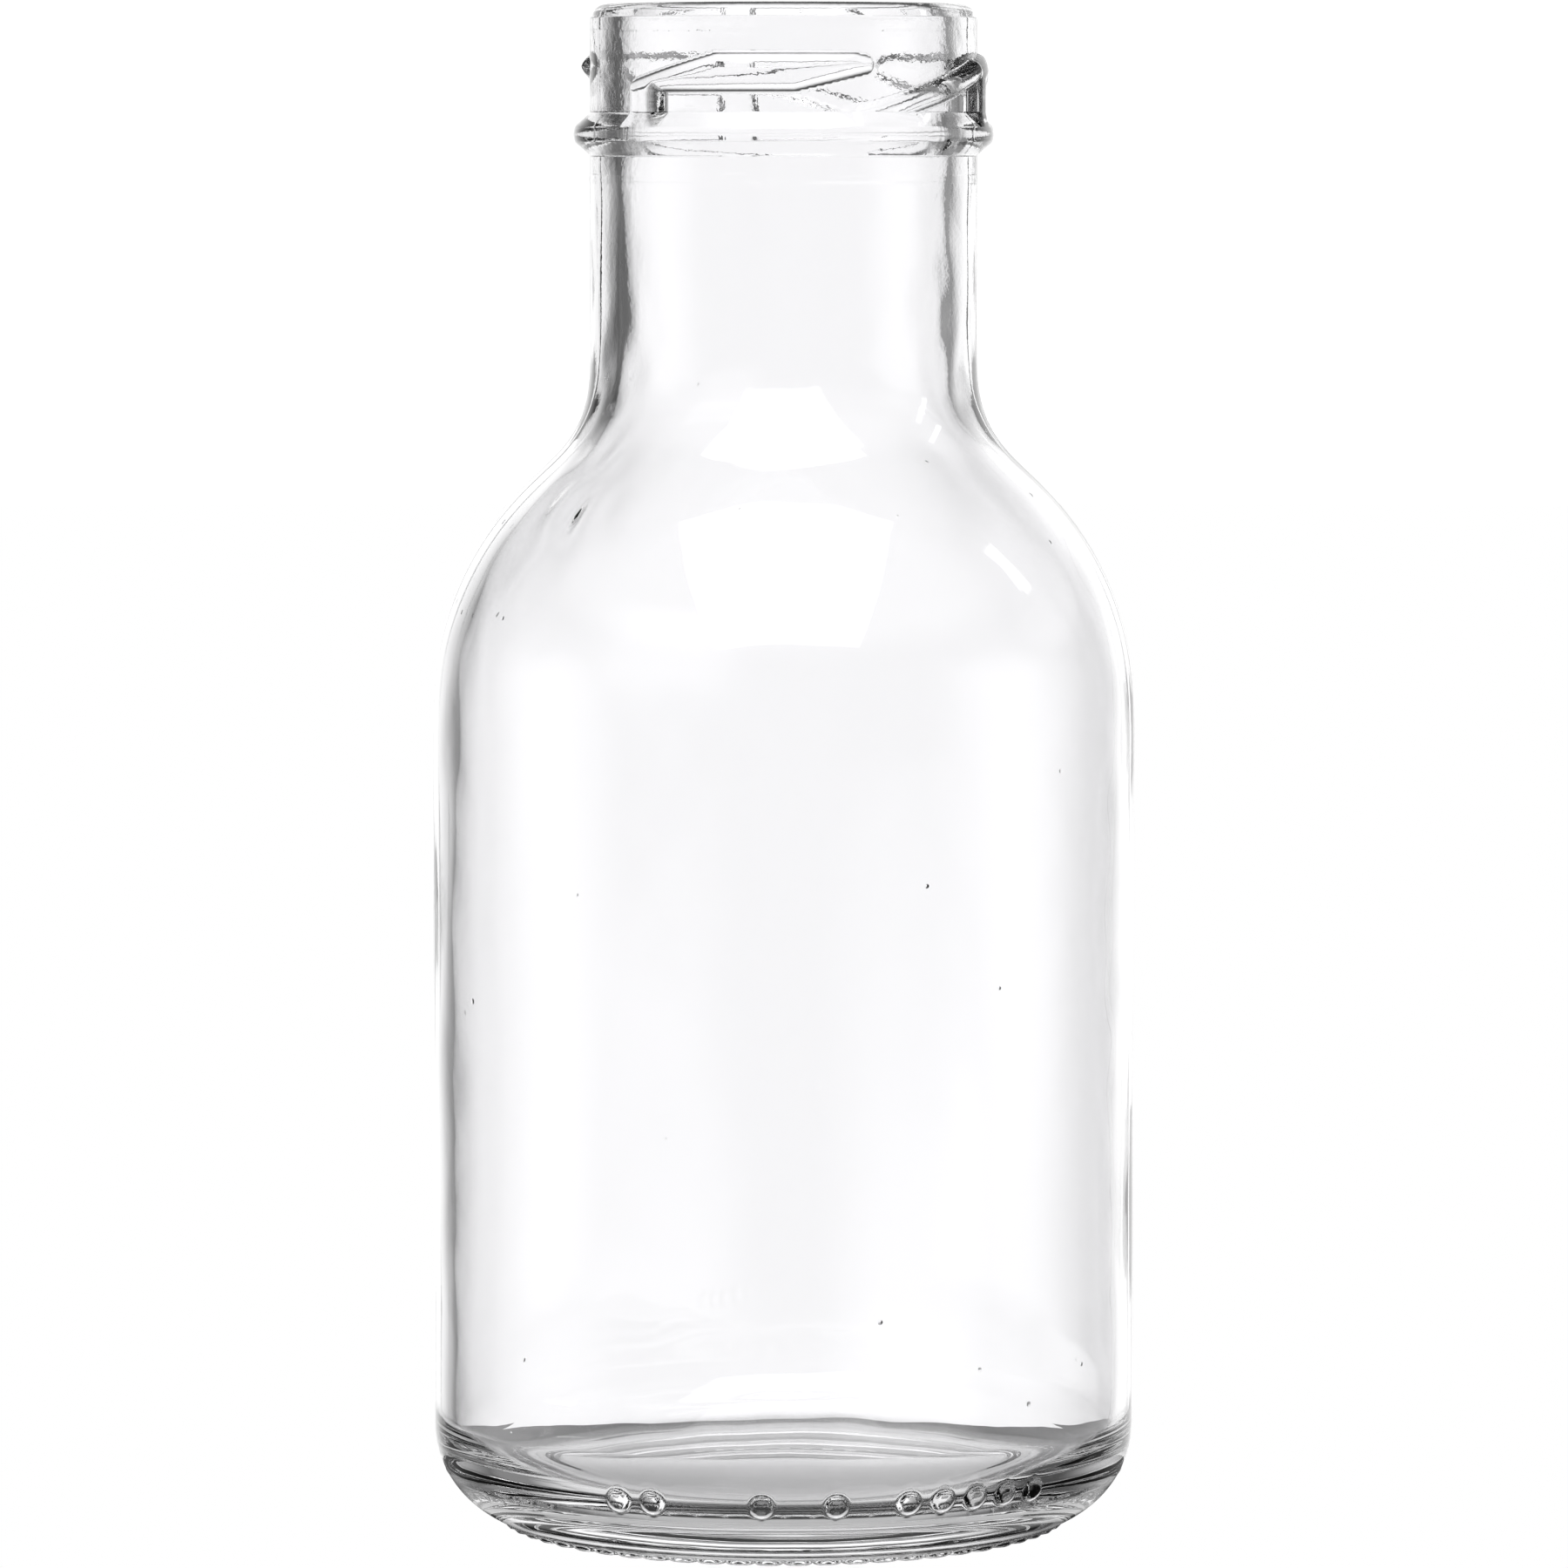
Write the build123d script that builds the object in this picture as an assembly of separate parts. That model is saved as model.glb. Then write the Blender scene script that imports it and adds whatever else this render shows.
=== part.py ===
from build123d import *
from math import cos, hypot, radians, sin, sqrt
import os

# A clear round milk bottle, blown in one piece, with a 38 mm three-lug twist-off mouth.
# Millimetres. The origin is the middle of the surface it stands on, and +Z runs up to the mouth.
# An angle is counted about +Z from the front of the bottle (-Y) towards its right side (+X).

# Body and shoulder, outside
bottle_height = 141.0
body_radius = 32.6
body_top_height = 76.0
shoulder_radius = 29.0
heel_radius = 9.0

# Neck, outside
neck_radius = 17.85
neck_fillet_radius = 9.8

# Inside walls and floor
body_bore_radius = 31.1
mouth_bore_radius = 15.7
neck_fillet_radius_inside = 11.0
inside_heel_radius = 6.0
floor_edge_height = 4.6
floor_middle_height = 5.4

# Foot: a flat ring to stand on, the hollow under the base, and the knurls round the ring
ring_outer_radius = 23.4
ring_inner_radius = 22.6
hollow_edge_radius = 21.9
hollow_edge_height = 0.7
hollow_middle_height = 2.4
heel_lift = 0.05
knurl_count = 61
knurl_radius = 1.0
knurl_length = 1.3
knurl_start_radius = 25.0
knurl_clearance = 0.05
knurl_tilt_degrees = 3.0

# Mould dots on the heel, on a regular pitch with some places left empty
dot_first_angle = -27.5
dot_pitch_angle = 6.0
dot_places = (0, 1, 4, 6, 8, 9, 10, 11, 12)
dot_cap_radius = 1.15
dot_cap_height = 0.4
dot_peg_radius = 1.4
dot_drop_degrees = 16.0

# Transfer bead under the lugs
bead_radius = 19.36
bead_height = 129.05
bead_section_radius = 1.95
bead_fillet_radius = 0.5

# Lip: a band a little narrower than the wall, with a round outer and inner corner
lip_radius = 17.6
lip_step_height = 140.0
lip_step_rise = 0.2
lip_outer_corner = 1.3
lip_inner_corner = 0.6

# Lugs: three, each from its stop wall to its nose. Angles along a lug are counted from its stop wall.
lug_count = 3
lug_radius = 18.95
lug_root_radius = 17.2
lug_front_stop_angle = -50.0
lug_sweep_angle = 77.0
lug_top_height = 136.5
lug_underside_height = 132.8
lug_nose_height = 134.9
lug_underside_bend_angle = 52.5
lug_foot_height = 129.6
lug_block_angle = 13.5
lug_edge_radius = 0.7
lug_corner_radius = 0.85
plain_stop_top_height = 133.9
plain_top_start_angle = 30.5
ramped_stop_top_height = 135.4
ramped_top_start_angle = 20.0

# Lead-in ramps: round ridges that climb from the bead to the stop wall of two of the lugs
ramp_lead_angle = 46.0
ramp_overlap_angle = 4.0
ramp_start_height = 130.6
ramp_end_height = 134.75
ramp_section_radius = 1.0
ramped_lugs = (1, 2)


def point_at(angle, radius, height):
    """The place at this angle from the front, this far from the axis."""
    return Vector(radius * sin(radians(angle)), -radius * cos(radians(angle)), height)


def shoulder_outline(wall, arc, neck, fillet):
    """The line from the top of the body to the foot of the neck: a round shoulder, then a hollow fillet."""
    arc_centre = Vector(wall - arc, body_top_height)
    side = neck + fillet - arc_centre.X
    fillet_centre = Vector(neck + fillet, body_top_height + sqrt((arc + fillet) ** 2 - side**2))
    joint = arc_centre + (fillet_centre - arc_centre) * (arc / (arc + fillet))
    neck_foot = Vector(neck, fillet_centre.Y)
    shoulder = RadiusArc((wall, body_top_height), joint, -arc)
    hollow = RadiusArc(joint, neck_foot, fillet)
    return shoulder, hollow


def bead_outline():
    """The half round of the bead, between the two places where it leaves the wall."""
    middle = Vector(bead_radius - bead_section_radius, bead_height)
    half_width = sqrt(bead_section_radius**2 - (neck_radius - middle.X) ** 2)
    low = Vector(neck_radius, bead_height - half_width)
    high = Vector(neck_radius, bead_height + half_width)
    return ThreePointArc(low, (bead_radius, bead_height), high)


def lip_outline():
    """The step in from the wall, the round outer corner, the sealing face and the round inner corner."""
    shelf_height = lip_step_height + lip_step_rise
    corner_drop = bottle_height - shelf_height
    corner_width = sqrt(lip_outer_corner**2 - (lip_outer_corner - corner_drop) ** 2)
    face_outer = Vector(lip_radius - corner_width, bottle_height)
    face_inner = Vector(mouth_bore_radius + lip_inner_corner, bottle_height)
    step = Line((neck_radius, lip_step_height), (lip_radius, shelf_height))
    outer_corner = RadiusArc(step @ 1, face_outer, -lip_outer_corner)
    face = Line(face_outer, face_inner)
    inner_corner_end = Vector(mouth_bore_radius, bottle_height - lip_inner_corner)
    inner_corner = RadiusArc(face_inner, inner_corner_end, -lip_inner_corner)
    return step, outer_corner, face, inner_corner


def dome_outline(middle_height, edge_radius, edge_height):
    """A low dome from its middle, on the axis, out to its edge. Its centre of curvature is on the axis."""
    rise = middle_height - edge_height
    dome_radius = (edge_radius**2 + rise**2) / (2 * rise)
    return RadiusArc((0, middle_height), (edge_radius, edge_height), dome_radius)


def foot_outline():
    """The underside, from the middle of the base out to the body wall."""
    dome = dome_outline(hollow_middle_height, hollow_edge_radius, hollow_edge_height)
    inner_side = Line(dome @ 1, (ring_inner_radius, 0))
    ring = Line((ring_inner_radius, 0), (ring_outer_radius, 0))
    heel_start = Vector(body_radius - heel_radius, heel_lift)
    ring_side = Line((ring_outer_radius, 0), heel_start)
    heel = RadiusArc(heel_start, (body_radius, heel_lift + heel_radius), -heel_radius)
    return dome, inner_side, ring, ring_side, heel


def inside_outline():
    """The inside, from the mouth down to the middle of the floor."""
    shoulder, hollow = shoulder_outline(
        body_bore_radius,
        shoulder_radius - (body_radius - body_bore_radius),
        mouth_bore_radius,
        neck_fillet_radius_inside,
    )
    heel_top = Vector(body_bore_radius, floor_edge_height + inside_heel_radius)
    heel_foot = Vector(body_bore_radius - inside_heel_radius, floor_edge_height)
    neck = Line((mouth_bore_radius, bottle_height - lip_inner_corner), hollow @ 1)
    wall = Line((body_bore_radius, body_top_height), heel_top)
    heel = RadiusArc(heel_top, heel_foot, inside_heel_radius)
    floor = dome_outline(floor_middle_height, heel_foot.X, heel_foot.Y)
    return neck, hollow, shoulder, wall, heel, floor


def blown_body():
    """The round glass: everything that is the same all the way about the axis."""
    foot = foot_outline()
    shoulder, hollow = shoulder_outline(body_radius, shoulder_radius, neck_radius, neck_fillet_radius)
    wall = Line((body_radius, heel_lift + heel_radius), (body_radius, body_top_height))
    bead = bead_outline()
    lip = lip_outline()
    inside = inside_outline()
    neck_low = Line(hollow @ 1, bead @ 0)
    neck_high = Line(bead @ 1, lip[0] @ 0)
    axis_line = Line((0, floor_middle_height), (0, hollow_middle_height))
    edges = [*foot, wall, shoulder, hollow, neck_low, bead, neck_high, *lip, *inside, axis_line]
    section = make_face(Curve() + edges)
    round_body = revolve(Plane.XZ * section, Axis.Z)
    bead_joints = round_body.edges().filter_by(
        lambda edge: edge.geom_type == GeomType.CIRCLE
        and abs(edge.radius - neck_radius) < 0.01
        and abs(edge.center().Z - bead_height) < 2 * bead_section_radius
    )
    return fillet(bead_joints, bead_fillet_radius)


def lug_block(stop_angle, stop_top_height, top_start_angle):
    """One lug with the block under its stop wall, cut out of a ring that stands proud of the neck."""
    middle_angle = stop_angle + lug_sweep_angle / 2

    def across(angle):
        return lug_radius * sin(radians(stop_angle + angle - middle_angle))

    outline = make_face(
        Polyline(
            (across(0), lug_foot_height),
            (across(0), stop_top_height),
            (across(top_start_angle), lug_top_height),
            (across(lug_sweep_angle), lug_top_height),
            (across(lug_sweep_angle), lug_nose_height),
            (across(lug_underside_bend_angle), lug_underside_height),
            (across(lug_block_angle), lug_underside_height),
            (across(lug_block_angle), lug_foot_height),
            close=True,
        )
    )
    corners = outline.vertices().filter_by(lambda corner: corner.Y > lug_foot_height)
    outline = fillet(corners, lug_corner_radius)
    facing = Plane((0, 0, 0), x_dir=point_at(middle_angle + 90, 1, 0), z_dir=point_at(middle_angle, 1, 0))
    prism = extrude(facing * outline, amount=bead_radius)
    ring_height = 2 * (lug_top_height - lug_foot_height)
    ring = Cylinder(lug_radius, ring_height) - Cylinder(lug_root_radius, ring_height)
    block = prism & (Pos(0, 0, (lug_top_height + lug_foot_height) / 2) * ring)
    crest_edges = block.edges().filter_by(
        lambda edge: abs(hypot((edge @ 0.5).X, (edge @ 0.5).Y) - lug_radius) < 0.01
        and (edge @ 0.5).Z > lug_foot_height
    )
    return fillet(crest_edges, lug_edge_radius)


def lead_in_ramp(stop_angle):
    """A round ridge that climbs along a helix from the bead to the stop wall of a lug."""
    sweep_angle = ramp_lead_angle + ramp_overlap_angle
    climb = ramp_end_height - ramp_start_height
    radius = lug_radius - ramp_section_radius
    rise_per_turn = climb * 360 / sweep_angle
    path = Helix(pitch=rise_per_turn, height=climb, radius=radius, center=(0, 0, ramp_start_height))
    section = Plane(origin=path @ 0, z_dir=path % 0) * Circle(ramp_section_radius)
    ridge = sweep(section, path=path, is_frenet=True)
    return Rot(0, 0, stop_angle - ramp_lead_angle - 90) * ridge


def heel_dot(angle):
    """A low dome that stands proud of the heel, on a short peg sunk in the wall."""
    ball_radius = (dot_cap_radius**2 + dot_cap_height**2) / (2 * dot_cap_height)
    depth = heel_radius + dot_cap_height - ball_radius
    radius = body_radius - heel_radius + depth * cos(radians(dot_drop_degrees))
    height = heel_lift + heel_radius - depth * sin(radians(dot_drop_degrees))
    outwards = point_at(angle, cos(radians(dot_drop_degrees)), -sin(radians(dot_drop_degrees)))
    peg = Cylinder(dot_peg_radius, ball_radius, align=(Align.CENTER, Align.CENTER, Align.MIN))
    return Plane(point_at(angle, radius, height), z_dir=outwards) * (Sphere(ball_radius) & peg)


def foot_knurl(angle):
    """A short bar with round ends that lies outwards under the heel, a hair above the standing face."""
    half = Line((0, -knurl_radius), (0, knurl_length + knurl_radius))
    side = Line((knurl_radius, 0), (knurl_radius, knurl_length))
    near_end = RadiusArc(half @ 0, side @ 0, -knurl_radius)
    far_end = RadiusArc(side @ 1, half @ 1, -knurl_radius)
    bar = revolve(make_face(Curve() + [half, near_end, side, far_end]), Axis.Y)
    start = point_at(angle, knurl_start_radius, knurl_radius + knurl_clearance)
    outwards = point_at(angle, cos(radians(knurl_tilt_degrees)), sin(radians(knurl_tilt_degrees)))
    lying = Plane(start, x_dir=point_at(angle + 90, 1, 0), z_dir=outwards)
    return lying * Rot(90, 0, 0) * bar


def mouth_lug(number):
    """One of the lugs, counted from the one in front, with its ramp where it has one."""
    stop_angle = lug_front_stop_angle + number * 360 / lug_count
    if number not in ramped_lugs:
        return [lug_block(stop_angle, plain_stop_top_height, plain_top_start_angle)]
    block = lug_block(stop_angle, ramped_stop_top_height, ramped_top_start_angle)
    return [block, lead_in_ramp(stop_angle)]


def build_bottle():
    """The blown body with its lugs, ramps, mould dots and knurls, all one piece of glass."""
    dots = [heel_dot(dot_first_angle + dot_pitch_angle * place) for place in dot_places]
    knurls = [foot_knurl(360 / knurl_count * place) for place in range(knurl_count)]
    lugs = [piece for number in range(lug_count) for piece in mouth_lug(number)]
    return blown_body() + lugs + dots + knurls


glass_bottle = build_bottle()
glass_bottle.label = "glass_bottle"
os.makedirs("parts", exist_ok=True)
export_step(glass_bottle, "parts/glass_bottle.step")
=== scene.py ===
import math

import bpy
import numpy as np
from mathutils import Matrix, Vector


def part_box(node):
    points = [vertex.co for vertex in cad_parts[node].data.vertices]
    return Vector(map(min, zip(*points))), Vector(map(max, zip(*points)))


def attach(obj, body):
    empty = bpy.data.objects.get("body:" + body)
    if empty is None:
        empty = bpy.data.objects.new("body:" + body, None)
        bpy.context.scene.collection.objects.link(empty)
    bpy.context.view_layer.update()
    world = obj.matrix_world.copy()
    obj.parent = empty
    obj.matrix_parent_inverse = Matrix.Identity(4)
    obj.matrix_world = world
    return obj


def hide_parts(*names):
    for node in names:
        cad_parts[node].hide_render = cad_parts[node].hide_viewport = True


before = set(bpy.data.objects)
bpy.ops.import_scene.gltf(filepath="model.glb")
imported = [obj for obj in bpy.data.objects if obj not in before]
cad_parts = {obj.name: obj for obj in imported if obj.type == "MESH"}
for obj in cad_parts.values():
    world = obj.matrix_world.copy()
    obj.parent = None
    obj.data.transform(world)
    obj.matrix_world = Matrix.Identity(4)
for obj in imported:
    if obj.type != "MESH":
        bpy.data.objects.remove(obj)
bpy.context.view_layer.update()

# One piece of clear glass is built here as a closed mesh of rows round the axis: up the outside from the
# middle of the base to the lip, then down the inside to the middle of the floor. Lengths are in millimetres
# unless a comment says metres, and MM turns them into the scene's metres. An angle is counted from the front
# (-Y) towards the right (+X), in degrees. A pair named start or end gives where a change begins and where it
# is complete.
MM = 0.001
CAD_NODE = "glass_bottle"
cad_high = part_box(CAD_NODE)[1]
height = cad_high.z / MM
body_radius = cad_high.x / MM

# Outside outline, from the base up. The bead is round to bead_crown degrees above and below its middle, and
# its flanks run straight from there to the neck.
hollow_middle = 2.4
hollow_edge = (21.9, 0.7)
foot_ring = (22.6, 23.4)
heel_arc = 9.0
heel_lift = 0.05
body_top = 76.0
shoulder_arc = 29.0
neck_radius = 17.85
neck_arc = 9.8
neck_fine_start = 124.0
bead_radius = 19.36
bead_height = 129.05
bead_arc = 1.95
bead_crown = 22.62
lip_radius = 17.6
lip_step = 140.0
lip_step_below = 0.3
lip_step_above = 0.2
lip_corner = 1.3
mouth_corner = 0.6

# Inside outline
body_bore = 30.75
neck_bore = 15.0
neck_arc_inside = 15.0
heel_arc_inside = 6.0
floor_edge = 4.6
floor_middle = 5.4

# Heights between which both outlines change their curve gradually, and the rounds of averaging that do it
softened_low, softened_high = 62, 118
softening_rounds = 14

# Points of an outline that are nearer than this are one point
same_point = 1e-6

# Distance between rows, on each kind of surface
dome_rows = 1.0
foot_rows = 0.25
wall_rows = 1.2
curve_rows = 0.8
under_bead_rows = 0.16
bead_rows = 0.2
finish_rows = 0.17
lip_step_rows = 0.1
corner_rows = 0.12
bore_rows = 0.5
inside_heel_rows = 0.4

# Columns (first angle, last angle, step): closer on the front, where the dots and most of the front lug are
front_columns = (-34, 54, 0.3)
other_columns = (54, 326, 0.68)

# Lugs. Angles run from each lug's stop to its nose; a ramped lug rises to its top sooner than a plain one
lug_depth = 1.1
lug_stops = (-50.0, 70.0, 190.0)
ramped_stops = (70.0, 190.0)
lug_middle = 39
lug_corner = 0.9
lug_roundness = 1.7
lug_foot, lug_under, lug_top, lug_nose = 128.6, 133.7, 135.6, 135.3
stop_width, under_end, top_end, nose_end = 13.5, 52.5, 70, 77
stop_drop = 0.75
top_start_lead = 0.2
ramped_top = (20.0, 135.4)
plain_top = (30.5, 133.9)
finish_low, finish_high = 128, 138.5
lug_fillet = 0.18

# Lead-in ramps. Each rises towards a ramped lug's stop from under the nose of the lug before it, and stands
# out more as it rises.
ramp_lead = 46.0
ramp_overlap = 4
ramp_low = 130.6
ramp_rise = 4.15
ramp_half_width = 1.1
ramp_start_share = 0.3
ramp_added_share = 0.7

# Mould dots on the heel, on an even pitch with some places left empty
dot_first_angle = -27.5
dot_pitch = 6.0
dot_places = (0, 1, 4, 6, 8, 9, 10, 11, 12)
dot_radius, dot_depth, dot_height = 1.2, 0.45, 6.5
dot_squash = 1.03
dot_edge = (1.0, 0.8)
dot_inset = 0.3
heel_least_radius = 25

# Knurls round the foot ring
knurl_count = 61
knurl_depth = 0.42
knurl_start = (23.6, 24.4)
knurl_end = (26.2, 27.0)
knurl_top = 2.0

# Parting lines. The heel's and the neck's are given by depth, height and half width
heel_line = (0.04, 5.0, 0.12)
neck_line = (0.05, 124.9, 0.2)
neck_line_least_radius = 17
seam_angles = (-90, 90)
seam_depth, seam_half_width = 0.05, 0.14
seam_start = (4.8, 5.4)
seam_end = (139.4, 139.9)
seam_least_radius = 16

# Waves in the glass: depth, seed, most waves in one turn, and what sets the longest wave up the wall
outside_waves = (0.035, 11, 9, 26)
outside_ripples = (0.012, 12, 30, 9)
finish_ripples = (0.002, 13, 30, 6)
inside_waves = (0.08, 21, 5, 40)
bore_waves = (0.05, 22, 6, 22)
bore_ripples = (0.012, 23, 20, 6)
mouth_ripples = (0.006, 25, 40, 3)
swirl_ripples = (0.22, 26, 30, 8)
floor_depth, floor_seed, floor_longest = 0.007, 24, 26

# Heights at which those waves come in and fade out, and the place of the swirl
outside_waves_start = (3, 26)
outside_waves_end = (124, 127)
inside_waves_start = (6, 28)
inside_waves_end = (96, 108)
inside_wall_start = (5.0, 12.0)
bore_waves_end = (131, 136)
mouth_ripples_start = (128, 132)
mouth_ripples_end = (138, 140)
swirl_angle, swirl_half_angle = -52, 11
swirl_height, swirl_half_height = 93, 6

# The bore lies a little to the right of the axis; the middle of the floor is left still
bore_aside = 0.1
bore_aside_end = (128, 138)
still_middle = (0, 6)

# How many waves a field sums, the range of their pitches, and what brings the sum to about 1
wave_count, wave_pitches = 24, (0.3, 1.0)
swell_count, swell_pitches = 16, (1.0, 2.6)
field_peak = 1.6

# Camera. It sees nothing nearer than clip_start, which is in metres.
camera_side, camera_distance, camera_height = 0.05, 720.0, 129.2
aim_height = 68.8
sensor_width, lens, clip_start = 36, 178.3, 0.01

# How often light may turn inside the glass, and how many of those turns may be reflections
light_turns, mirror_turns = 24, 14

# Glass, and the fine relief of its skin, with sizes and depths in millimetres. There are seed_cells cells to
# a metre, each with one seed, and seed_reach is a seed's radius as a share of its cell.
glass_colour = (0.985, 0.983, 0.991, 1)
glass_index = 1.52
crinkle_size, crinkle_depth, crinkle_detail = 0.55, 0.006, 2
crinkle_start = (96, 112)
crinkle_radius = (17.0, 16.4)
crinkle_in_neck, crinkle_added_in_mouth = 0.5, 0.7
crinkle_mouth_start = (122, 130)
peel_size, peel_depth, peel_detail = 4.0, 0.003, 1
seed_cells, seed_reach, seed_depth = 120, 0.036, 0.15

# The room's light. Each lit side has a bearing, counted from the back (+Y) towards the left (-X); how far to
# each side it is even and where it has faded; its heights above the horizon (faded, even, even, faded); and a
# strength. The softbox has a bearing, a tilt, its edges across and up as slopes, a soft edge and a strength,
# and least_depth keeps directions that point away from it out of it.
room_light = 0.07
lit_sides = (
    (-6, (20, 50), (-42, -24, 18, 38), 1.12),
    (-10, (45, 58), (-42, -24, 18, 38), 0.26),
    (180, (70, 120), (18, 36, 60, 85), 0.6),
    (0, (180, 181), (40, 62, 91, 92), 0.5),
    (45, (10, 40), (-48, -36, -18, -10), 1.0),
    (90, (4, 44), (-18, -8, 4, 34), 0.9),
    (270, (4, 44), (-18, -8, 4, 34), 0.6),
    (225, (10, 40), (-38, -26, -10, -2), 1.0),
    (287, (1.5, 3), (26, 28, 39, 41), 4.0),
)
softbox = (180, 65, (-0.53, 0.53), (-0.71, 0.38), 0.01, 3.0)
least_depth = 1e-4

# The floor: its radius in metres, the degrees between its corners, and the glow that the glass gets from the
# place under the bottle, which is painted light and shade: a grey middle of painted shade, a painted shadow
# ring, a painted bright ring in front and painted shadow past it. That place is an ellipse, which reaches
# under_reach to the front and the back, and further across because distances across count less there. Its
# rings differ from back to front, so each has a strength at the back and what the front adds to it.
floor_radius, floor_corner_turn = 2.0, 5
under_squeeze, under_reach = (0.66, 1, 0), 33
middle_shade = 0.5
shadow_back, shadow_added_in_front = 0.2, -0.15
bright_back, bright_added_in_front = 0.15, 0.65
shadow_start = (24.2, 25.4)
bright_start = (28.3, 29.3)
bright_end = (33, 34)
front_half_width = 8


def line(start, end, step):
    """Points from start to end, at most a step apart."""
    start, end = np.array(start, float), np.array(end, float)
    count = max(2, int(np.ceil(np.linalg.norm(end - start) / step)) + 1)
    return start + np.linspace(0, 1, count)[:, None] * (end - start)


def arc(centre, radius, first, last, step):
    """Points on an arc, from one angle to another in degrees, at most a step apart."""
    count = max(3, int(np.ceil(radius * abs(math.radians(last - first)) / step)) + 1)
    turn = np.radians(np.linspace(first, last, count))
    return np.array(centre) + radius * np.column_stack((np.cos(turn), np.sin(turn)))


def dome(middle, edge, step):
    """A low dome from its middle on the axis out to its edge."""
    rise = middle - edge[1]
    radius = (edge[0] ** 2 + rise**2) / (2 * rise)
    lean = math.degrees(math.asin(edge[0] / radius))
    return arc((0, middle - radius), radius, 90, 90 - lean, step)


def shoulder(wall, big, neck, small, step):
    """The round shoulder and the hollow fillet under the neck, tangent to each other, going up."""
    centre = np.array((wall - big, body_top))
    across = neck + small - centre[0]
    fillet = np.array((neck + small, body_top + math.sqrt((big + small) ** 2 - across**2)))
    lean = math.degrees(math.atan2(fillet[1] - centre[1], fillet[0] - centre[0]))
    return arc(centre, big, 0, lean, step), arc(fillet, small, 180 + lean, 180, step), fillet[1]


def lip_outline():
    """The step to the narrower lip, its round top, and the small corner into the mouth."""
    drop = height - lip_step - lip_step_above
    middle = lip_radius - math.sqrt(lip_corner**2 - (lip_corner - drop) ** 2)
    lean = math.degrees(math.asin(1 - drop / lip_corner))
    top = arc((middle, height - lip_corner), lip_corner, lean, 90, corner_rows)
    corner_centre = (neck_bore + mouth_corner, height - mouth_corner)
    mouth = arc(corner_centre, mouth_corner, 90, 180, corner_rows)
    step_low = (neck_radius, lip_step - lip_step_below)
    step = line(step_low, (lip_radius, lip_step + lip_step_above), lip_step_rows)
    return [step, top, mouth]


def outside_outline():
    """The outside, from the middle of the base to the inner edge of the lip."""
    heel_centre = np.array((body_radius - heel_arc, heel_lift + heel_arc))
    heel = arc(heel_centre, heel_arc, -90, 0, foot_rows)
    round_shoulder, hollow, neck_foot = shoulder(body_radius, shoulder_arc, neck_radius, neck_arc, curve_rows)
    bead_centre = np.array((bead_radius - bead_arc, bead_height))
    bead_reach = math.sqrt(bead_arc**2 - (neck_radius - bead_centre[0]) ** 2)
    bead_low, bead_high = bead_height - bead_reach, bead_height + bead_reach
    parts = [
        dome(hollow_middle, hollow_edge, dome_rows),
        line(hollow_edge, (foot_ring[0], 0), foot_rows),
        line((foot_ring[0], 0), (foot_ring[1], 0), foot_rows),
        line((foot_ring[1], 0), heel[0], foot_rows),
        heel,
        line(heel[-1], (body_radius, body_top), wall_rows),
        round_shoulder,
        hollow,
        line((neck_radius, neck_foot), (neck_radius, neck_fine_start), curve_rows),
        line((neck_radius, neck_fine_start), (neck_radius, bead_low), under_bead_rows),
        arc(bead_centre, bead_arc, -bead_crown, bead_crown, bead_rows),
        line((neck_radius, bead_high), (neck_radius, lip_step - lip_step_below), finish_rows),
    ]
    return softened(joined(parts + lip_outline()))


def inside_outline():
    """The inside, from the lip down to the middle of the floor."""
    big = shoulder_arc - (body_radius - body_bore)
    round_shoulder, hollow, neck_foot = shoulder(body_bore, big, neck_bore, neck_arc_inside, curve_rows)
    heel_centre = (body_bore - heel_arc_inside, floor_edge + heel_arc_inside)
    parts = [
        line((neck_bore, height - mouth_corner), (neck_bore, neck_foot), bore_rows),
        hollow[::-1],
        round_shoulder[::-1],
        line((body_bore, body_top), (body_bore, floor_edge + heel_arc_inside), wall_rows),
        arc(heel_centre, heel_arc_inside, 0, -90, inside_heel_rows),
        dome(floor_middle, (body_bore - heel_arc_inside, floor_edge), dome_rows)[::-1],
    ]
    return softened(joined(parts))


def joined(parts):
    """One run of points from several that meet end to end, each shared point once."""
    points = np.vstack(parts)
    gap = np.linalg.norm(np.diff(points, axis=0), axis=1)
    return points[np.concatenate(([True], gap > same_point))]


def softened(points):
    """The outline with its changes of curve between the wall and the neck spread over a few millimetres."""
    heights = points[1:-1, 1]
    between = (heights > softened_low) & (heights < softened_high)
    for _ in range(softening_rounds):
        even = (points[:-2] + 2 * points[1:-1] + points[2:]) / 4
        points[1:-1] = np.where(between[:, None], even, points[1:-1])
    return points


def outward_normals(points):
    """The glass's outward direction at each point of an outline, as (radius, height)."""
    along = np.gradient(points, axis=0)
    along /= np.linalg.norm(along, axis=1)[:, None]
    return np.column_stack((along[:, 1], -along[:, 0]))


def smooth(low, high, value):
    """0 at low, 1 at high, the same beyond them, and a smooth change between."""
    share = np.clip((value - low) / (high - low), 0, 1)
    return share * share * (3 - 2 * share)


def ripple(angle, place, depth, seed, waves, longest):
    """A smooth random field, about depth high and deep, that closes on itself round the axis.

    waves is the most waves in one turn, and longest sets the longest wave along place."""
    dice = np.random.default_rng(seed)
    turn = np.radians(angle)
    field = 0.0
    for _ in range(wave_count):
        round_waves = dice.integers(0, waves + 1)
        along_waves = dice.uniform(*wave_pitches) * 2 * math.pi / longest
        phase = dice.uniform(0, 2 * math.pi)
        tilt = dice.choice((-1, 1))
        field = field + np.sin(round_waves * turn + tilt * along_waves * place + phase)
    return depth * (field / math.sqrt(wave_count / 2) / field_peak)


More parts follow.
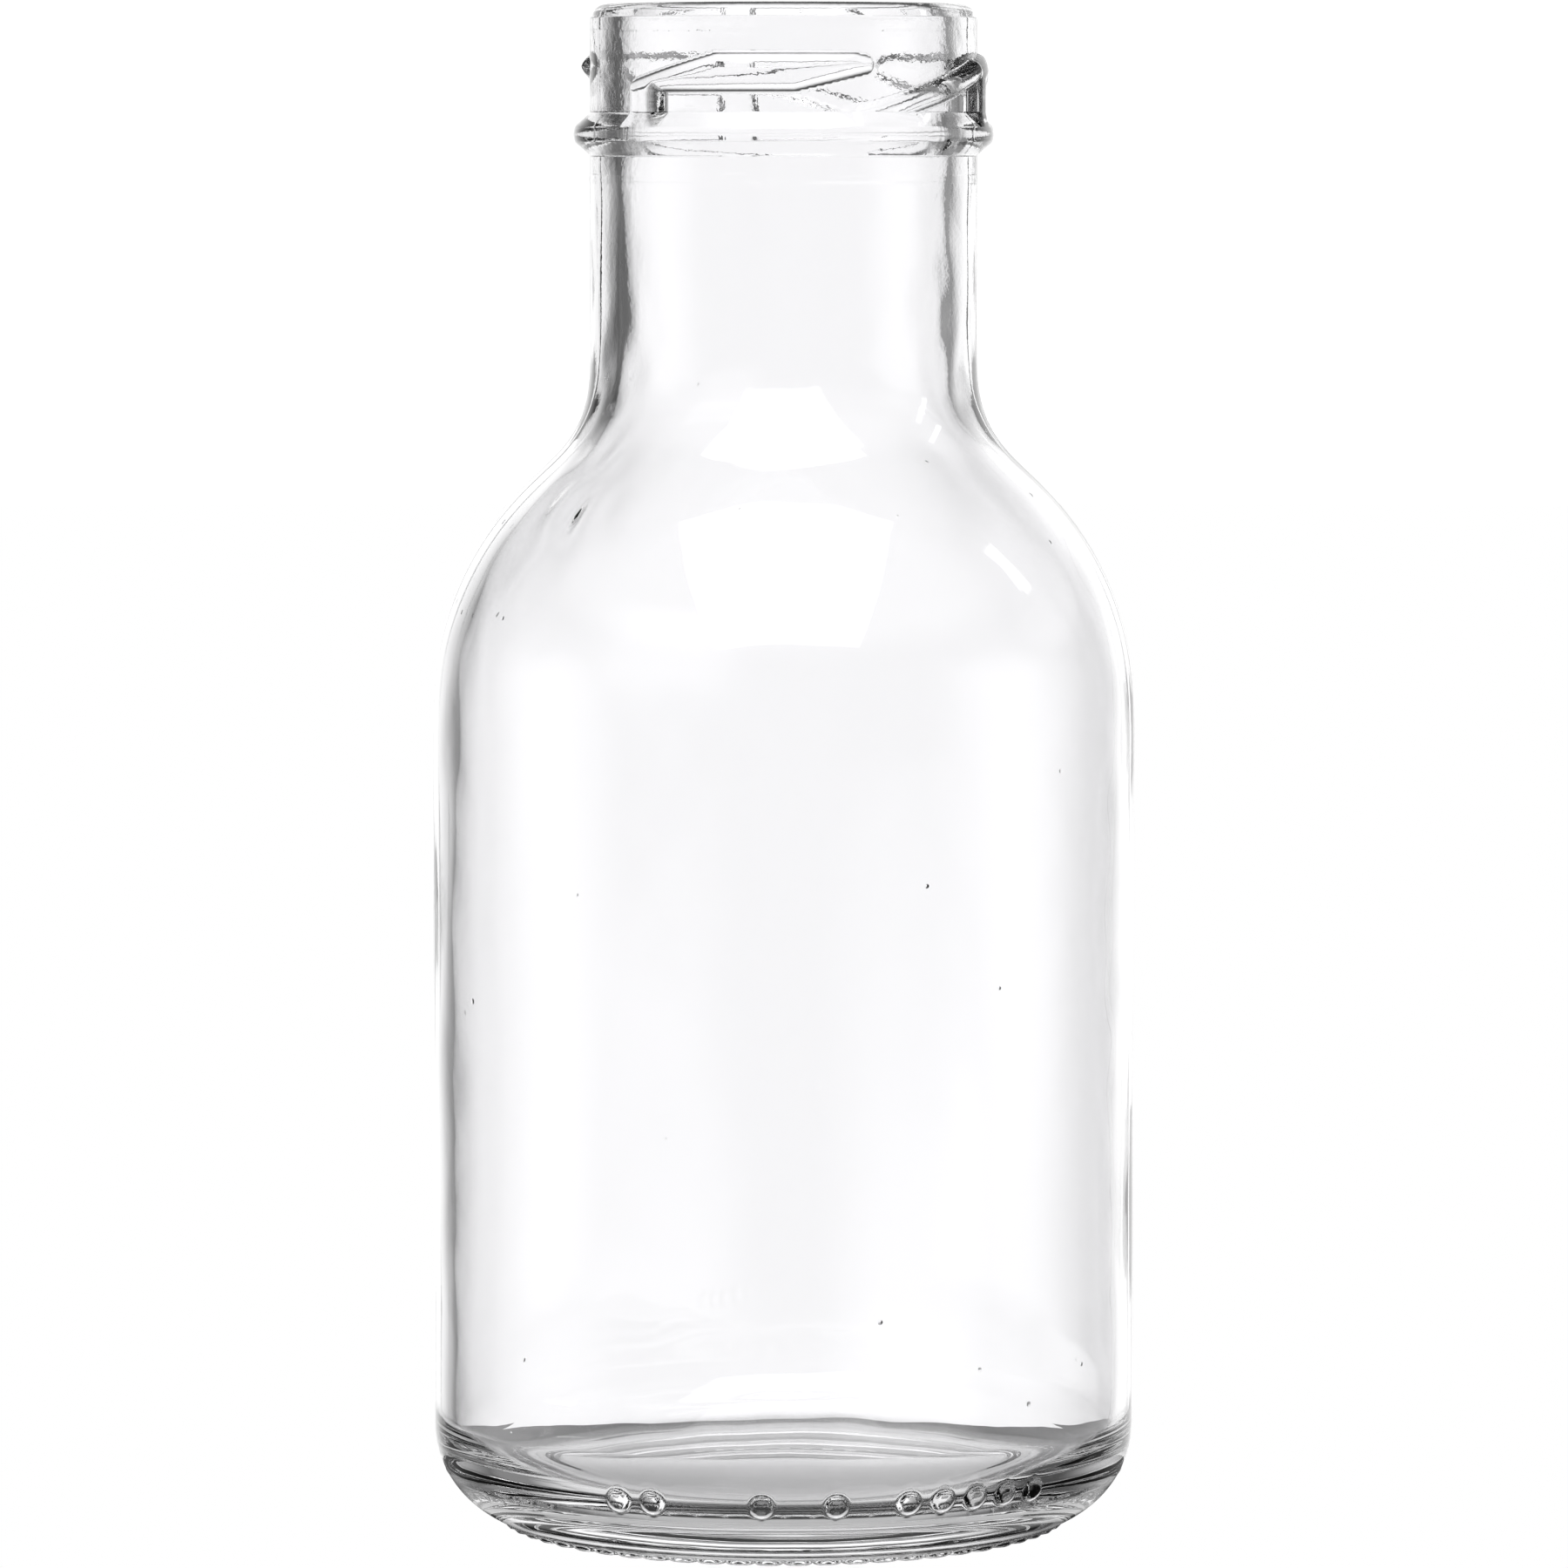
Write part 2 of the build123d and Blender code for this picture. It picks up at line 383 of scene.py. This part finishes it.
def swell(x, y, seed, longest):
    """A smooth random field of about -1 to 1 over a flat place, with waves no longer than longest."""
    dice = np.random.default_rng(seed)
    field = 0.0
    for _ in range(swell_count):
        way, phase = dice.uniform(0, 2 * math.pi, 2)
        waves = dice.uniform(*swell_pitches) * 2 * math.pi / longest
        field = field + np.sin(waves * (x * math.cos(way) + y * math.sin(way)) + phase)
    return field / math.sqrt(swell_count / 2) / field_peak


def turned(angle, middle):
    """angle counted from middle, between -180 and 180."""
    return (angle - middle + 180) % 360 - 180


def ridge(away, half_width):
    """A round-topped ridge of height 1, falling away on both sides."""
    return np.exp(-((away / half_width) ** 2))


def crowned(share):
    """The height of a steep-sided ridge, 0 at its edge and 1 where share reaches 1."""
    share = np.clip(share, 0, 1)
    return np.sqrt(share * (2 - share))


def polygon_distance(x, y, corners):
    """The distance from each place to a polygon's outline, less than 0 inside it."""
    corners = np.array(corners, float)
    nearest = np.full(np.broadcast(x, y).shape, np.inf)
    inside = np.zeros(nearest.shape, bool)
    for (ax, ay), (bx, by) in zip(corners, np.roll(corners, -1, axis=0)):
        ex, ey = bx - ax, by - ay
        share = np.clip(((x - ax) * ex + (y - ay) * ey) / (ex * ex + ey * ey), 0, 1)
        nearest = np.minimum(nearest, np.hypot(x - ax - share * ex, y - ay - share * ey))
        crosses = (ay > y) != (by > y)
        with np.errstate(divide="ignore", invalid="ignore"):
            at = ax + (y - ay) * ex / ey
        inside ^= crosses & (x < at)
    return np.where(inside, -nearest, nearest)


def lug_height(angle, z):
    """How far the lugs and their ramps stand proud of the mouth's wall, 0 to lug_depth."""
    degree = math.radians(neck_radius + lug_depth)
    proud = np.zeros(np.broadcast(angle, z).shape)
    for stop in lug_stops:
        ramped = stop in ramped_stops
        along = turned(angle, stop + lug_middle) + lug_middle
        top_start, stop_top = ramped_top if ramped else plain_top
        corners = [
            (lug_corner, lug_foot),
            (lug_corner, stop_top - stop_drop),
            (top_start * degree + top_start_lead, lug_top),
            (top_end * degree, lug_top),
            (nose_end * degree - lug_corner, lug_nose),
            (under_end * degree, lug_under),
            (stop_width * degree - lug_corner, lug_under),
            (stop_width * degree - lug_corner, lug_foot),
        ]
        away = polygon_distance(along * degree, z, corners) - lug_corner
        proud = np.maximum(proud, lug_depth * crowned(-away / lug_roundness))
        if ramped:
            proud = np.maximum(proud, ramp_height(along, z, degree))
    return proud


def ramp_height(along, z, degree):
    """How far one lead-in ramp stands proud, at angles along from its lug's stop."""
    share = np.clip((along + ramp_lead) / (ramp_lead + ramp_overlap), 0, 1)
    past_end = np.maximum(0, np.maximum(-ramp_lead - along, along - ramp_overlap))
    away = np.hypot(z - (ramp_low + share * ramp_rise), past_end * degree)
    tall = lug_depth * (ramp_start_share + ramp_added_share * share)
    return tall * crowned(1 - away / ramp_half_width)


def heel_relief(angle, z):
    """The mould dots and the line where the mould's base plate meets its sides."""
    depth, line_height, half_width = heel_line
    relief = depth * ridge(z - line_height, half_width)
    for place in dot_places:
        from_dot = turned(angle, dot_first_angle + dot_pitch * place)
        across = np.radians(from_dot) * (body_radius - dot_inset)
        share = np.hypot(across, (z - dot_height) * dot_squash) / dot_radius
        relief = relief + dot_depth * np.sqrt(np.clip(1 - share**2, 0, 1)) * smooth(*dot_edge, share)
    return relief


def knurl_relief(angle, radius, z):
    """Small rounded bars that lie outwards under the heel, all the way round."""
    pitch = 360 / knurl_count
    across = np.abs(turned(angle % pitch, pitch / 2)) / (pitch / 2)
    bar = np.sqrt(np.clip(1 - across**2, 0, 1))
    band = smooth(*knurl_start, radius) * (1 - smooth(*knurl_end, radius)) * (z < knurl_top)
    return knurl_depth * bar * band


def parting_lines(angle, radius, z):
    """The line up each side of the bottle, and the line round the neck."""
    lines = 0.0
    for seam in seam_angles:
        across = np.radians(turned(angle, seam)) * radius
        reach = smooth(*seam_start, z) * (1 - smooth(*seam_end, z)) * (radius > seam_least_radius)
        lines = lines + seam_depth * ridge(across, seam_half_width) * reach
    depth, line_height, half_width = neck_line
    return lines + depth * ridge(z - line_height, half_width) * (radius > neck_line_least_radius)


def soft_maximum(a, b, fillet, where):
    """The larger of two radii, with a small fillet between them."""
    gap = np.clip(0.5 + 0.5 * (b - a) / fillet, 0, 1)
    rounded = a * (1 - gap) + b * gap + fillet * gap * (1 - gap)
    return np.where(where & (b > 0), rounded, a)


def outside_rows(angle):
    """The radius and height of each point outside, as rows by columns."""
    outline = outside_outline()
    normal = outward_normals(outline)
    radius, z = outline[:, :1], outline[:, 1:]
    on_finish = smooth(*outside_waves_end, z)
    waves = ripple(angle, z, *outside_waves) + ripple(angle, z, *outside_ripples)
    moved = waves * smooth(*outside_waves_start, z) * (1 - on_finish)
    moved = moved + ripple(angle, z, *finish_ripples) * on_finish
    moved = moved + heel_relief(angle, z) * (radius > heel_least_radius)
    moved = moved + knurl_relief(angle, radius, z) + parting_lines(angle, radius, z)
    out_radius = radius + moved * normal[:, :1]
    out_z = z + moved * normal[:, 1:]
    least_z = np.where(radius > foot_ring[1], heel_lift, 0)
    near_lugs = (z > finish_low) & (z < finish_high)
    proud = np.where(near_lugs, neck_radius + lug_height(angle, z), 0)
    return soft_maximum(out_radius, proud, lug_fillet, near_lugs), np.maximum(out_z, least_z)


def inside_rows(angle):
    """The radius and height of each point inside, as rows by columns."""
    outline = inside_outline()
    normal = outward_normals(outline)
    radius, z = outline[:, :1], outline[:, 1:]
    turn = np.radians(angle)
    on_wall = smooth(*inside_wall_start, z)
    in_neck = smooth(*inside_waves_end, z)
    moved = ripple(angle, z, *inside_waves) * smooth(*inside_waves_start, z) * (1 - in_neck)
    waves = ripple(angle, z, *bore_waves) + ripple(angle, z, *bore_ripples)
    moved = moved + waves * in_neck * (1 - smooth(*bore_waves_end, z))
    in_mouth = smooth(*mouth_ripples_start, z) * (1 - smooth(*mouth_ripples_end, z))
    moved = moved + ripple(angle, z, *mouth_ripples) * in_mouth
    swells = swell(radius * np.sin(turn), radius * np.cos(turn), floor_seed, floor_longest)
    moved = moved + floor_depth * swells * (1 - on_wall)
    in_swirl = ridge(turned(angle, swirl_angle), swirl_half_angle)
    in_swirl = in_swirl * ridge(z - swirl_height, swirl_half_height)
    moved = moved + in_swirl * ripple(angle, z, *swirl_ripples)
    moved = moved - bore_aside * np.sin(turn) * on_wall * (1 - smooth(*bore_aside_end, z))
    moved = moved * smooth(*still_middle, radius)
    return radius + moved * normal[:, :1], z + moved * normal[:, 1:]


def bottle_points():
    """The places of all the mesh's rows, as an array of rows by columns by (x, y, z), in millimetres."""
    angle = np.concatenate((np.arange(*front_columns), np.arange(*other_columns)))[None, :]
    out_radius, out_z = outside_rows(angle)
    in_radius, in_z = inside_rows(angle)
    turn = np.radians(angle)
    radius = np.vstack((out_radius, in_radius[1:]))
    z = np.vstack((out_z, in_z[1:]))
    return np.stack((radius * np.sin(turn), -radius * np.cos(turn), z), axis=-1)


def bottle_mesh():
    """The closed glass mesh: quads between the rows, and a fan at each of the two middles."""
    points = bottle_points()
    rows, columns = points.shape[0] - 2, points.shape[1]
    ring = points[1:-1].reshape(-1, 3)
    first, last = points[0].mean(axis=0), points[-1].mean(axis=0)
    vertices = np.vstack((ring, first, last)) * MM
    index = np.arange(rows * columns).reshape(rows, columns)
    after = np.roll(index, -1, axis=1)
    quads = np.stack((index[:-1], after[:-1], after[1:], index[1:]), axis=-1).reshape(-1, 4)
    low_fan = np.stack((np.full(columns, rows * columns), after[0], index[0]), axis=-1)
    high_fan = np.stack((np.full(columns, rows * columns + 1), index[-1], after[-1]), axis=-1)
    mesh = bpy.data.meshes.new("bottle_glass")
    faces = quads.tolist() + low_fan.tolist() + high_fan.tolist()
    mesh.from_pydata(vertices.tolist(), [], faces)
    mesh.shade_smooth()
    mesh.update()
    return mesh


def maths(tree, operation, *inputs):
    """The output of a maths node with these numbers or sockets as its inputs."""
    node = tree.nodes.new("ShaderNodeMath")
    node.operation = operation
    for socket, value in zip(node.inputs, inputs):
        if isinstance(value, (int, float)):
            socket.default_value = value
        else:
            tree.links.new(value, socket)
    return node.outputs[0]


def blend(tree, share, a, b):
    """a where share is 0, b where it is 1."""
    return maths(tree, "MULTIPLY_ADD", share, maths(tree, "SUBTRACT", b, a), a)


def rise(tree, value, low, high, scale=1.0):
    """0 at low and 1 at high, both multiplied by scale, with a smooth change between."""
    node = tree.nodes.new("ShaderNodeMapRange")
    node.interpolation_type = "SMOOTHSTEP"
    tree.links.new(value, node.inputs["Value"])
    node.inputs["From Min"].default_value = low * scale
    node.inputs["From Max"].default_value = high * scale
    return node.outputs["Result"]


def along(tree, vector, way):
    """How far a vector goes one way."""
    node = tree.nodes.new("ShaderNodeVectorMath")
    node.operation = "DOT_PRODUCT"
    tree.links.new(vector, node.inputs[0])
    node.inputs[1].default_value = way
    return node.outputs["Value"]


def length(tree, vector, share=(1, 1, 0)):
    """The length of a vector, with each of its parts counted at this share."""
    scaled = tree.nodes.new("ShaderNodeVectorMath")
    scaled.operation = "MULTIPLY"
    tree.links.new(vector, scaled.inputs[0])
    scaled.inputs[1].default_value = share
    node = tree.nodes.new("ShaderNodeVectorMath")
    node.operation = "LENGTH"
    tree.links.new(scaled.outputs[0], node.inputs[0])
    return node.outputs["Value"]


def noise(tree, place, size, detail):
    """Noise of about this feature size, in millimetres, between about -1 and 1."""
    node = tree.nodes.new("ShaderNodeTexNoise")
    tree.links.new(place, node.inputs["Vector"])
    node.inputs["Scale"].default_value = 1 / (size * MM)
    node.inputs["Detail"].default_value = detail
    return maths(tree, "MULTIPLY_ADD", node.outputs["Fac"], 2.0, -1.0)


def glass_skin(tree):
    """The height of the skin's fine relief: a crinkled neck and mouth inside, orange peel, and tiny seeds."""
    place = tree.nodes.new("ShaderNodeTexCoord").outputs["Object"]
    z = along(tree, place, Vector((0, 0, 1)))
    inside = rise(tree, length(tree, place), *crinkle_radius, MM)
    bore = maths(tree, "MULTIPLY", inside, rise(tree, z, *crinkle_start, MM))
    mouth = rise(tree, z, *crinkle_mouth_start, MM)
    share = maths(tree, "MULTIPLY_ADD", mouth, crinkle_added_in_mouth, crinkle_in_neck)
    crinkle = maths(tree, "MULTIPLY", maths(tree, "MULTIPLY", bore, share), crinkle_depth)
    skin = maths(tree, "MULTIPLY", noise(tree, place, crinkle_size, crinkle_detail), crinkle)
    peel = noise(tree, place, peel_size, peel_detail)
    skin = maths(tree, "MULTIPLY_ADD", peel, peel_depth, skin)
    cells = tree.nodes.new("ShaderNodeTexVoronoi")
    tree.links.new(place, cells.inputs["Vector"])
    cells.inputs["Scale"].default_value = seed_cells
    seed = rise(tree, cells.outputs["Distance"], seed_reach, 0.0)
    return maths(tree, "MULTIPLY_ADD", seed, seed_depth, skin)


def clear_glass():
    """Clear flint glass."""
    material = bpy.data.materials.new("clear_glass")
    material.use_nodes = True
    tree = material.node_tree
    shader = tree.nodes["Principled BSDF"]
    shader.inputs["Base Color"].default_value = glass_colour
    shader.inputs["Transmission Weight"].default_value = 1.0
    shader.inputs["IOR"].default_value = glass_index
    shader.inputs["Roughness"].default_value = 0.0
    bump = tree.nodes.new("ShaderNodeBump")
    bump.inputs["Strength"].default_value = 1.0
    bump.inputs["Distance"].default_value = MM
    tree.links.new(glass_skin(tree), bump.inputs["Height"])
    tree.links.new(bump.outputs["Normal"], shader.inputs["Normal"])
    return material


def add_bottle():
    """The glass bottle, which rides on the CAD body and stands for its node."""
    bottle = bpy.data.objects.new("bottle_glass", bottle_mesh())
    bpy.context.scene.collection.objects.link(bottle)
    bottle.data.materials.append(clear_glass())
    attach(bottle, "root")
    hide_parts(CAD_NODE)


def add_camera():
    """The camera: far off with a long lens, a little below the lip, and looking slightly down."""
    camera = bpy.data.objects.new("camera", bpy.data.cameras.new("camera"))
    bpy.context.scene.collection.objects.link(camera)
    camera.location = Vector((camera_side, -camera_distance, camera_height)) * MM
    aim = Vector((camera_side, 0, aim_height)) * MM
    camera.rotation_euler = (aim - camera.location).to_track_quat("-Z", "Y").to_euler()
    camera.data.sensor_width = sensor_width
    camera.data.lens = lens
    camera.data.clip_start = clip_start
    bpy.context.scene.camera = camera


def allow_long_light_paths():
    """Light turns many times inside the thick base, the bead and the lugs before it leaves the glass."""
    paths = bpy.context.scene.cycles
    paths.max_bounces = light_turns
    paths.transmission_bounces = light_turns
    paths.glossy_bounces = mirror_turns


def panel(tree, direction, bearing, tilt, sides, ends, soft, strength):
    """The light from a flat rectangular panel, far away and facing the bottle."""
    turn, lift = math.radians(bearing), math.radians(tilt)
    facing = Vector((-math.sin(turn) * math.cos(lift), math.cos(turn) * math.cos(lift), math.sin(lift)))
    up = Vector((math.sin(turn) * math.sin(lift), -math.cos(turn) * math.sin(lift), math.cos(lift)))
    depth = maths(tree, "MAXIMUM", along(tree, direction, facing), least_depth)
    x = maths(tree, "DIVIDE", along(tree, direction, facing.cross(up)), depth)
    y = maths(tree, "DIVIDE", along(tree, direction, up), depth)
    light = maths(tree, "MULTIPLY", rise(tree, x, sides[0] - soft, sides[0] + soft), strength)
    for value, low, high in (
        (x, sides[1] + soft, sides[1] - soft),
        (y, ends[0] - soft, ends[0] + soft),
        (y, ends[1] + soft, ends[1] - soft),
    ):
        light = maths(tree, "MULTIPLY", light, rise(tree, value, low, high))
    return light


def lit_side(tree, direction, bearing, sides, ends, strength):
    """The light from one side of the room, even in its middle and fading towards its edges."""
    way = math.radians(bearing)
    depth = along(tree, direction, Vector((-math.sin(way), math.cos(way), 0)))
    across = maths(tree, "ABSOLUTE", along(tree, direction, Vector((math.cos(way), math.sin(way), 0))))
    turn = maths(tree, "ARCTAN2", across, depth)
    lift = maths(tree, "ARCSINE", along(tree, direction, Vector((0, 0, 1))))
    near = rise(tree, turn, math.radians(sides[1]), math.radians(sides[0]))
    light = maths(tree, "MULTIPLY", near, strength)
    for faded, even in ((ends[0], ends[1]), (ends[3], ends[2])):
        light = maths(tree, "MULTIPLY", light, rise(tree, lift, math.radians(faded), math.radians(even)))
    return light


def add_world():
    """A white surround behind the bottle, with a softbox in front of it and above, in a dim room."""
    world = bpy.data.worlds.new("studio")
    bpy.context.scene.world = world
    world.use_nodes = True
    tree = world.node_tree
    direction = tree.nodes.new("ShaderNodeTexCoord").outputs["Generated"]
    light = maths(tree, "MAXIMUM", room_light, panel(tree, direction, *softbox))
    for facts in lit_sides:
        light = maths(tree, "MAXIMUM", light, lit_side(tree, direction, *facts))
    seen = tree.nodes.new("ShaderNodeLightPath").outputs["Is Camera Ray"]
    tree.links.new(maths(tree, "MAXIMUM", light, seen), tree.nodes["Background"].inputs["Strength"])
    tree.nodes["Background"].inputs["Color"].default_value = (1, 1, 1, 1)
    bpy.context.scene.view_settings.view_transform = "Standard"


def floor_mesh():
    """A large flat disc."""
    turns = [math.radians(degrees) for degrees in range(0, 360, floor_corner_turn)]
    edge = [(math.sin(turn) * floor_radius, math.cos(turn) * floor_radius, 0.0) for turn in turns]
    mesh = bpy.data.meshes.new("floor")
    mesh.from_pydata(edge, [], [list(range(len(edge)))[::-1]])
    return mesh


def floor_shade(tree, position):
    """Painted light the glass gets from the floor: grey shade, a shadow ring, one bright in front, then
    shadow.
    """
    distance = length(tree, position)
    forward = along(tree, position, Vector((0, -1, 0)))
    front = rise(tree, forward, -front_half_width, front_half_width, MM)
    shadow = maths(tree, "MULTIPLY_ADD", front, shadow_added_in_front, shadow_back)
    bright = maths(tree, "MULTIPLY_ADD", front, bright_added_in_front, bright_back)
    shade = blend(tree, rise(tree, distance, *shadow_start, MM), middle_shade, shadow)
    shade = blend(tree, rise(tree, distance, *bright_start, MM), shade, bright)
    return blend(tree, rise(tree, distance, *bright_end, MM), shade, shadow)


def add_floor():
    """A floor that glows white to the camera. The glass sees it glow only under the bottle, with painted
    shade.
    """
    mesh = floor_mesh()
    floor = bpy.data.objects.new("floor", mesh)
    bpy.context.scene.collection.objects.link(floor)
    material = bpy.data.materials.new("floor")
    material.use_nodes = True
    tree = material.node_tree
    tree.nodes.clear()
    glow = tree.nodes.new("ShaderNodeEmission")
    clear = tree.nodes.new("ShaderNodeBsdfTransparent")
    mix = tree.nodes.new("ShaderNodeMixShader")
    seen = tree.nodes.new("ShaderNodeLightPath").outputs["Is Camera Ray"]
    position = tree.nodes.new("ShaderNodeNewGeometry").outputs["Position"]
    under = maths(tree, "LESS_THAN", length(tree, position, under_squeeze), under_reach * MM)
    shade = floor_shade(tree, position)
    # The floor glows: evenly white to the camera, and painted shade, painted shadow and a painted bright ring
    # to the glass
    tree.links.new(maths(tree, "MAXIMUM", shade, seen), glow.inputs["Strength"])
    tree.links.new(maths(tree, "MAXIMUM", under, seen), mix.inputs[0])
    tree.links.new(clear.outputs[0], mix.inputs[1])
    tree.links.new(glow.outputs[0], mix.inputs[2])
    output = tree.nodes.new("ShaderNodeOutputMaterial")
    tree.links.new(mix.outputs[0], output.inputs["Surface"])
    mesh.materials.append(material)


add_bottle()
add_camera()
allow_long_light_paths()
add_world()
add_floor()
